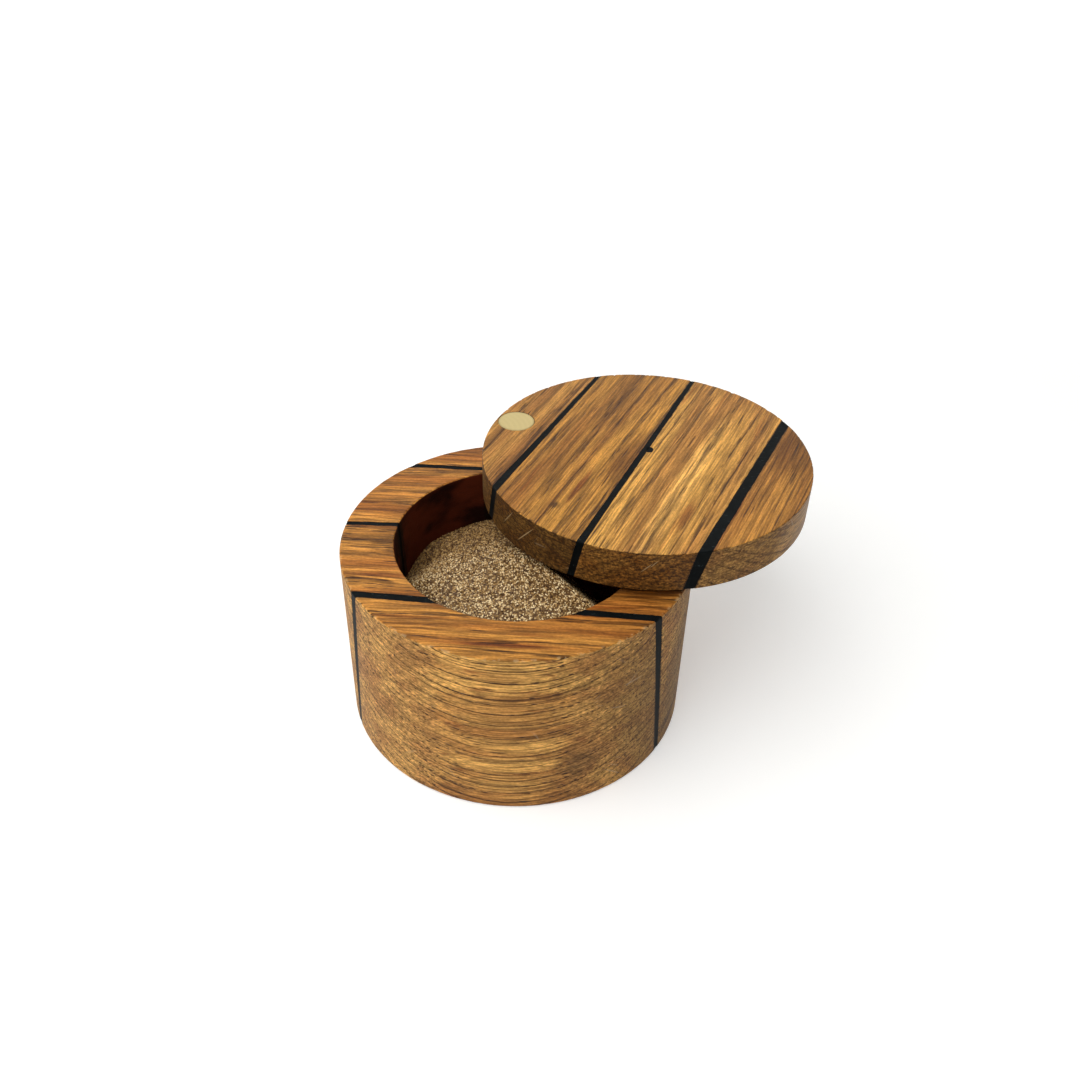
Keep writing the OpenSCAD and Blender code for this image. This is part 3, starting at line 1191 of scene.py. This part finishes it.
@dataclass
class SaltHeap:
    """Loose salt in the hollow: a heap raised by rule and covered in crystals, in mm and degrees.

    Attributes:
        node: CAD node of the heap.
        radius: Radius of the heap.
        floor: Height of the floor under it.
        crest: Height of its top.
        crest_x: Place of the top to the right.
        crest_y: Place of the top to the back.
        dome: Radius of the domed top.
        squeeze: How much steeper the top is to the sides than to the back.
        dent_x: Place of the dent at the wall to the right.
        dent_y: Place of the dent to the back.
        dent_depth: Depth of the dent.
        dent_reach: Radius of the dent.
        scoop_turn: Direction that the scooped side faces.
        scoop_at: Distance of its ridge from the middle.
        scoop_drop: How far the ridge lies below the top.
        scoop_slope: Slope of the scooped side.
        grain: Size of a common crystal.
        spacing: Least distance between two crystals.
        back_shade: How pale the crystals at the back are, as a share of the others: painted shade on the
            back of the heap.
        rings: Rings of faces from the middle to the wall.
        steps: Faces in a ring.
    """

    node: str
    radius: float
    floor: float
    crest: float
    crest_x: float = 4.0
    crest_y: float = -20.0
    dome: float = 94.5
    squeeze: float = 1.25
    dent_x: float = -29.0
    dent_y: float = 7.0
    dent_depth: float = 4.0
    dent_reach: float = 15.0
    scoop_turn: float = 35.0
    scoop_at: float = 1.0
    scoop_drop: float = 1.6
    scoop_slope: float = 50.0
    grain: float = 0.52
    spacing: float = 0.325
    back_shade: float = 0.58
    rings: int = 46
    steps: int = 180

    def blank(self) -> BMesh:
        """A flat round slab whose upper face the rule then raises."""
        shares = [(i + 1) / self.rings for i in range(self.rings)]
        lower = [(0.0, self.floor), (self.radius, self.floor)]
        upper = [(self.radius * s, self.floor + 1) for s in reversed(shares)]
        return revolve(lambda angle: [*lower, *upper, (0.0, self.floor + 1)], self.steps)

    def tree(self, material: bpy.types.Material) -> tuple[bpy.types.NodeTree, dict[str, float]]:
        """Builds the node tree that raises the heap and scatters the crystals.

        Args:
            material: Finish of the salt.

        Returns:
            The tree, and the value for each of its named inputs.
        """
        tree = bpy.data.node_groups.new("Salt heap", "GeometryNodeTree")
        add = partial(add_node, tree)
        tree.interface.new_socket("Heap", in_out="INPUT", socket_type="NodeSocketGeometry")
        tree.interface.new_socket("Salt", in_out="OUTPUT", socket_type="NodeSocketGeometry")
        sizes = {
            "Crest height": self.crest * MM,
            "Crest right": self.crest_x * MM,
            "Crest back": self.crest_y * MM,
            "Dome radius": self.dome * MM,
            "Side steepness": self.squeeze,
            "Dent right": self.dent_x * MM,
            "Dent back": self.dent_y * MM,
            "Dent depth": self.dent_depth * MM,
            "Dent reach": self.dent_reach * MM,
            "Scoop turn": math.radians(self.scoop_turn),
            "Scoop ridge": self.scoop_at * MM,
            "Scoop drop": self.scoop_drop * MM,
            "Scoop slope": math.tan(math.radians(self.scoop_slope)),
            "Upper face above": (self.floor + 0.5) * MM,
            "Lump height": 0.9 * MM,
            "Back shade": self.back_shade,
            "Crystal size": self.grain * MM,
            "Crystal spacing": self.spacing * MM,
        }
        for name in sizes:
            tree.interface.new_socket(name, in_out="INPUT", socket_type="NodeSocketFloat")
        given = add("NodeGroupInput").outputs
        place = add("GeometryNodeInputPosition")
        flat = add("VectorMath MULTIPLY", place, (1, 1, 0))
        # Height of the dome: crest - (R - sqrt(R^2 - d^2)), d being the distance from the crest.
        middle = add("CombineXYZ", given["Crest right"], given["Crest back"])
        steeper = add("CombineXYZ", given["Side steepness"], 1.0)
        away = add("VectorMath MULTIPLY", add("VectorMath SUBTRACT", flat, middle), steeper)
        away = add("VectorMath LENGTH", away)
        dome = given["Dome radius"]
        rise = add("Math SUBTRACT", add("Math MULTIPLY", dome, dome), add("Math MULTIPLY", away, away))
        fall = add("Math SUBTRACT", dome, add("Math SQRT", rise))
        domed = add("Math SUBTRACT", given["Crest height"], fall)
        # The dent at the wall takes off most at its middle.
        away = add("VectorMath DISTANCE", flat, add("CombineXYZ", given["Dent right"], given["Dent back"]))
        dent = add("MapRange SMOOTHSTEP", away, 0.0, given["Dent reach"], given["Dent depth"], 0.0)
        domed = add("Math SUBTRACT", domed, dent)
        # Height of the scooped side: a plane that falls away from its ridge.
        turn = given["Scoop turn"]
        facing = add("CombineXYZ", add("Math COSINE", turn), add("Math SINE", turn))
        reach = add("Math SUBTRACT", add("VectorMath DOT_PRODUCT", place, facing), given["Scoop ridge"])
        fall = add("Math MULTIPLY_ADD", reach, given["Scoop slope"], given["Scoop drop"])
        scooped = add("Math SUBTRACT", given["Crest height"], fall)
        # The lower of the two, blended over 1.6 mm, with shallow lumps about 4.5 mm wide.
        height = add("Math SMOOTH_MIN", domed, scooped, 1.6 * MM)
        lumps = add("TexNoise", {"Vector": flat, "Scale": 1 / (4.5 * MM), "Detail": 3.0})
        lumps = add("Math SUBTRACT", lumps, 1.0)
        height = add("Math MULTIPLY_ADD", lumps, given["Lump height"], height)
        raised = add("VectorMath ADD", flat, add("CombineXYZ", {"Z": height}))
        level, edge = add("SeparateXYZ", place).outputs["Z"], given["Upper face above"]
        upper = add("FunctionNodeCompare", level, edge, operation="GREATER_THAN")
        raised = {"Geometry": given["Heap"], "Selection": upper, "Position": raised}
        heap = add("GeometryNodeSetPosition", raised)
        # Crystals: crushed, eight-sided lumps at random turns, packed over the upper face.
        facing_up, least = add("SeparateXYZ", add("GeometryNodeInputNormal")).outputs["Z"], 0.3
        spread = {
            "Mesh": heap,
            "Selection": add("FunctionNodeCompare", facing_up, least, operation="GREATER_THAN"),
            "Distance Min": given["Crystal spacing"],
            "Density Max": 9e6,
            "Seed": 3,
        }
        points = add("GeometryNodeDistributePointsOnFaces", spread, distribute_method="POISSON")
        turns = {0: (0, 0, 0), 1: (math.tau, math.tau, math.tau), "Seed": 11}
        ratios = {0: (0.55, 0.5, 0.4), 1: (1.25, 1.1, 0.95), "Seed": 12}
        scaled = add("FunctionNodeRandomValue", ratios, data_type="FLOAT_VECTOR")
        placed = {
            "Points": points.outputs["Points"],
            "Instance": add("GeometryNodeMeshUVSphere", {"Segments": 4, "Rings": 2, "Radius": 0.7}),
            "Rotation": add("FunctionNodeRandomValue", turns, data_type="FLOAT_VECTOR"),
            "Scale": add("VectorMath SCALE", scaled, given["Crystal size"]),
        }
        crystals = add("GeometryNodeInstanceOnPoints", placed)
        # Each crystal has one tone, and those at the back are darker: painted shade on the back of the
        # heap.
        tone = add("FunctionNodeRandomValue", {2: 0.0, 3: 1.0, "Seed": 13}, data_type="FLOAT")
        back = add("SeparateXYZ", add("GeometryNodeInputPosition")).outputs["Y"]
        back = add("MapRange", back, -5 * MM, 9 * MM, 1.0, given["Back shade"])
        tone = add("Math MULTIPLY", tone, back)
        named = {"Geometry": crystals, "Name": "tone", "Value": tone}
        crystals = add("GeometryNodeStoreNamedAttribute", named, data_type="FLOAT", domain="INSTANCE")
        crystals = add("GeometryNodeRealizeInstances", {"Geometry": crystals})
        # The heap under the crystals is dark: painted shade in the gaps between them.
        named = {"Geometry": heap, "Name": "tone", "Value": 0.15}
        heap = add("GeometryNodeStoreNamedAttribute", named, data_type="FLOAT", domain="POINT")
        joined = add("GeometryNodeJoinGeometry", crystals)
        tree.links.new(heap.outputs[0], joined.inputs[0])
        dressed = add("GeometryNodeSetMaterial", {"Geometry": joined, "Material": material})
        add("NodeGroupOutput", {"Salt": dressed})
        return tree, sizes

    def build(self) -> None:
        """Builds and dresses the salt."""
        material = SaltFinish().material()
        maker = link_mesh(self.blank(), "salt_maker")
        tree, sizes = self.tree(material)
        modifier = maker.modifiers.new("Salt", "NODES")
        modifier.node_group = tree
        for item in tree.interface.items_tree:
            if item.in_out == "INPUT" and item.name in sizes:
                modifier[item.identifier] = sizes[item.name]
        bpy.context.view_layer.update()
        seen = maker.evaluated_get(bpy.context.evaluated_depsgraph_get())
        mesh = bpy.data.meshes.new_from_object(seen)
        maker.modifiers.remove(modifier)
        bpy.data.objects.remove(maker)
        mesh.polygons.foreach_set("use_smooth", [False] * len(mesh.polygons))
        piece = bpy.data.objects.new(self.node + "_crystals", mesh)
        bpy.context.scene.collection.objects.link(piece)
        tie(piece, self.node, Body.BOWL, material)


# ---------------------------------------------------------------- studio


@dataclass
class Studio:
    """Pale sweep, soft light and camera, in metres and degrees.

    Attributes:
        eye: Place of the camera.
        yaw: Turn of the camera to the left.
        pitch: How far it looks down.
        roll: How far it leans to the left.
        lens: Focal length on a sensor 36 mm wide.
        lamp: Place of the soft light.
        lamp_size: Side of the soft light.
        lamp_watts: Power of the soft light.
        sky: Strength of the even light from all round.
    """

    eye: tuple[float, float, float] = (-0.0034934, -0.2079701, 0.2057955)
    yaw: float = -2.464
    pitch: float = 37.232
    roll: float = 1.398
    lens: float = 35.661
    lamp: tuple[float, float, float] = (-0.32, -0.22, 0.66)
    lamp_size: float = 0.9
    lamp_watts: float = 6.0
    sky: float = 0.36

    def camera(self) -> None:
        """Puts the camera where the photograph was taken."""
        yaw, pitch, roll = (math.radians(a) for a in (self.yaw, self.pitch, self.roll))
        level = math.cos(pitch)
        ahead = Vector((-math.sin(yaw) * level, math.cos(yaw) * level, -math.sin(pitch)))
        right = Vector((math.cos(yaw), math.sin(yaw), 0.0))
        up = right.cross(ahead)
        cosine, sine = math.cos(roll), math.sin(roll)
        right, up = cosine * right + sine * up, cosine * up - sine * right
        data = bpy.data.cameras.new("camera")
        data.lens, data.sensor_width, data.sensor_fit = self.lens, 36.0, "HORIZONTAL"
        data.clip_start, data.clip_end = 0.01, 10.0
        camera = bpy.data.objects.new("camera", data)
        turned = Matrix((right, up, -ahead)).transposed()
        camera.matrix_world = Matrix.Translation(self.eye) @ turned.to_4x4()
        bpy.context.scene.collection.objects.link(camera)
        bpy.context.scene.camera = camera

    def seen_white(self, add: AddNode) -> bpy.types.Node:
        """Tells where the white studio is seen.

        Args:
            add: Adds a node to the material or world.

        Returns:
            The node that gives 1 for rays that show it, and 0 for the light that it sheds.
        """
        path = add("LightPath").outputs
        seen = add("Math MAXIMUM", path["Is Camera Ray"], path["Is Glossy Ray"])
        return add("Math MAXIMUM", seen, path["Is Transmission Ray"])

    def sweep(self) -> None:
        """Lays the pale floor, which curves up into a backdrop behind the object."""
        bend, back, height, reach, steps = 0.10, 0.42, 1.6, 3.0, 12
        line = [(-reach, 0.0), (-0.5, 0.0), (back - bend, 0.0)]
        turns = [math.radians(-90 + 90 * i / steps) for i in range(1, steps + 1)]
        line += [(back - bend + bend * math.cos(t), bend + bend * math.sin(t)) for t in turns]
        line.append((back, height))
        shape = bmesh.new()
        # A hair below the foot, so that the two faces don't flicker.
        sides, hair = (-reach, reach), 0.02
        rows = [[shape.verts.new((x / MM, y / MM, z / MM - hair)) for x in sides] for y, z in line]
        for here, there in zip(rows, rows[1:]):
            shape.faces.new((here[0], here[1], there[1], there[0]))
        floor = link_mesh(shape, "sweep")
        material = bpy.data.materials.new("Card, matt white")
        add = cleared(material)
        matt = add("BsdfDiffuse", {"Color": "#E8E8E6"})
        # Away from the object it glows more, so that it fades to white.
        away = add("VectorMath LENGTH", add("TexCoord").outputs["Object"])
        lift = add("MapRange SMOOTHSTEP", away, 0.25, 0.6, 0.33, 0.75)
        lift = add("Math MULTIPLY", self.seen_white(add), lift)
        glow = add("Emission", {"Color": "#FFFFFF", "Strength": lift})
        add("OutputMaterial", add("AddShader", matt, glow))
        floor.data.materials.append(material)

    def light(self) -> None:
        """Hangs one large soft light and sets the even light round it."""
        data = bpy.data.lights.new("softbox", "AREA")
        data.shape, data.size, data.energy = "SQUARE", self.lamp_size, self.lamp_watts
        lamp = bpy.data.objects.new("softbox", data)
        lamp.location = self.lamp
        middle = Vector((0.015, 0.01, 0.03))
        aim = middle - Vector(self.lamp)
        lamp.rotation_euler = aim.to_track_quat("-Z", "Y").to_euler()
        bpy.context.scene.collection.objects.link(lamp)
        world = bpy.data.worlds.new("even light")
        bpy.context.scene.world = world
        add = cleared(world)
        extra = add("Math MULTIPLY_ADD", self.seen_white(add), 1.0 - self.sky, self.sky)
        add("OutputWorld", add("Background", {"Color": "#FFFFFF", "Strength": extra}))

    def build(self) -> None:
        """Builds the studio."""
        self.camera()
        self.sweep()
        self.light()
        bpy.context.scene.view_settings.view_transform = "Standard"


# ---------------------------------------------------------------- the object


def oak_box() -> tuple[Bowl, Lid, Dowel, SaltHeap]:
    """Gives the sub-assemblies their sizes, boards and seams.

    Returns:
        The bowl, the lid, the dowel and the salt.
    """
    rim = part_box("bowl_plank_front")[1].z / MM
    lid_low, lid_high = (corner.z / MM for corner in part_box("lid_plank_front"))
    axis = frame["joints"][0]["pos_m"][1] / MM
    dowel_low, dowel_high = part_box("pivot_dowel")
    thick = (dowel_high.x - dowel_low.x) / MM
    dowel = Dowel("pivot_dowel", axis, thick / 2, dowel_low.z / MM, dowel_high.z / MM)
    rim_red = Mark((-4.0, -37.6, 48.0), (17, 1.1, 3), "#6B3015", 0.75)
    left_red = Mark((-31.0, -14.0, 48.0), (12, 1.6, 4), "#84451F", 0.7)
    wall_stain = Mark((14.0, -41.0, 13.0), (9, 7, 6), "#4E3018", 0.6)
    # Painted shade: the next three marks darken the rim's right end under the open lid and the right side
    # of the wall, away from the light.
    right_end_shade = Mark((28.0, -20.0, 46.0), (16, 8, 9), "#623606", 0.85)
    right_wall_shade = Mark((34.0, -30.0, 22.0), (25, 19, 44), "#543814", 0.68)
    far_wall_shade = Mark((40.0, -15.0, 22.0), (14, 18, 44), "#46331C", 0.8)
    bowl_oak = partial(OakFinish, turn=-5)
    shaded = {"top_tint": "#E6D3B8", "marks": (rim_red, wall_stain, right_wall_shade)}
    ends = (left_red, right_end_shade, far_wall_shade)
    bowl = Bowl(
        radius=-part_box("bowl_plank_mid_front")[0].x / MM,
        height=rim,
        hollow=30.0,
        floor=10.0,
        boards=(
            Board("bowl_plank_front", bowl_oak((0, 0, 0), tilt=17, pith=95, ring=2.3, **shaded)),
            Board("bowl_plank_mid_front", bowl_oak((40, 15, 7), tilt=-12, pith=80, ring=2.6, marks=ends)),
            Board("bowl_plank_mid_back", bowl_oak((-30, 44, -12), tilt=9, pith=60, ring=2.1)),
            Board("bowl_plank_back", bowl_oak((22, -37, 19), tilt=-20, pith=75, ring=2.5)),
        ),
        seams=(
            Seam("bowl_seam_front", -25.3, 2.0, -7.4, 6, rim, taper=0.014),
            Seam("bowl_seam_middle", 4.4, 1.4, -3, 5, rim),
            Seam("bowl_seam_back", 29.9, 1.6, -5.1, 1, rim),
        ),
    )
    streak_left = Mark((15.0, 6.0, 59.4), (11, 1.1, 3), "#6E3216", 0.8)
    streak_right = Mark((39.0, -6.5, 59.4), (10, 1.3, 3), "#7E4420", 0.75)
    gold = Mark((40.0, 5.5, 59.4), (42, 3.6, 4), "#EDB66C", 0.8)
    middle = Mark((28.0, 18.0, 59.4), (17, 8, 4), "#7A4E24", 0.8)
    far_end = Mark((72.0, 22.0, 59.4), (20, 12, 8), "#764E24", 0.75)
    knot = Mark((8.7, -1.8, 59.4), (2.2, 1.3, 1.6), "#3B2412", 0.85)
    # The lid's walls tend far more to a dark brown than the bowl's: partly its darker oiled end grain,
    # partly painted shade, as the lid's edge gets less light than the bowl's wall.
    lid_oak = partial(
        OakFinish,
        turn=-1.5,
        gold="#D09C55",
        tan="#A87640",
        brown="#8A5C2C",
        red_share=0.12,
        pore_share=0.68,
        sway=1.2,
        pith=220,
        wall="#2E1800",
        wall_share=0.8,
        end_share=0.84,
        straight=0.85,
        edge=(41.7, lid_high),
        edge_tone="#2C1808",
        edge_reach=0.2,
        edge_share=0.75,
        speckle=0.5,
    )
    scratches = (
        Scratch((-3.6, 0.6, 52.4), (-1.0, -3.6, 58.9)),
        Scratch((-0.5, -4.3, 50.6), (3.8, -9.2, 58.1), 0.65),
    )
    arcs = (
        Scratch((27.2, -20.6, 53.8), (30.3, -20.9, 57.0)),
        Scratch((29.3, -20.8, 55.3), (31.5, -20.9, 57.9)),
    )
    lid = Lid(
        radius=41.6995,
        under=lid_low,
        top=lid_high,
        swing=64.4,
        boards=(
            Board(
                "lid_plank_front",
                lid_oak(
                    (10, 60, 3),
                    tilt=34,
                    ring=2.2,
                    wall="#5E4222",
                    wall_share=0.5,
                    end_share=0.65,
                    marks=(far_end,),
                    speckle=0.3,
                    top_tint="#DCCCAE",
                ),
            ),
            Board(
                "lid_plank_mid_front",
                lid_oak(
                    (-20, 18, 31),
                    tilt=-38,
                    top_tint="#FFFADF",
                    wall="#553208",
                    marks=(streak_right, gold),
                    scratches=arcs,
                ),
            ),
            Board(
                "lid_plank_mid_back",
                lid_oak(
                    (35, -8, -6),
                    tilt=42,
                    ring=2.6,
                    top_tint="#DFD2AC",
                    end_share=0.87,
                    edge_reach=0.45,
                    marks=(middle, streak_left, knot),
                    scratches=scratches,
                ),
            ),
            Board(
                "lid_plank_back",
                lid_oak((-44, 29, 11), tilt=-30, ring=2.3, top_tint="#E6DCC6"),
            ),
        ),
        seams=(
            Seam("lid_seam_front", -27, 2.5, -2.6, 11.5, lid_high, 0.16, 0.07, -0.008),
            Seam("lid_seam_middle", 1, 1.45, -0.2, 11.5, lid_high, 0.14, 0.0, -0.007),
            Seam("lid_seam_back", 27, 1.5, -1.8, 11.5, lid_high, 0.1, 0.0, -0.015),
        ),
    )
    salt = SaltHeap("salt_heap", radius=29.95, floor=10.0, crest=rim - 0.25)
    return bowl, lid, dowel, salt


def main() -> None:
    """Builds the salt box and its studio."""
    logging.basicConfig(level=logging.INFO, format="%(name)s: %(message)s")
    bowl, lid, dowel, salt = oak_box()
    bowl.build(dowel)
    lid.build(dowel)
    dowel.build()
    salt.build()
    Studio().build()


if __name__ == "__main__":
    main()
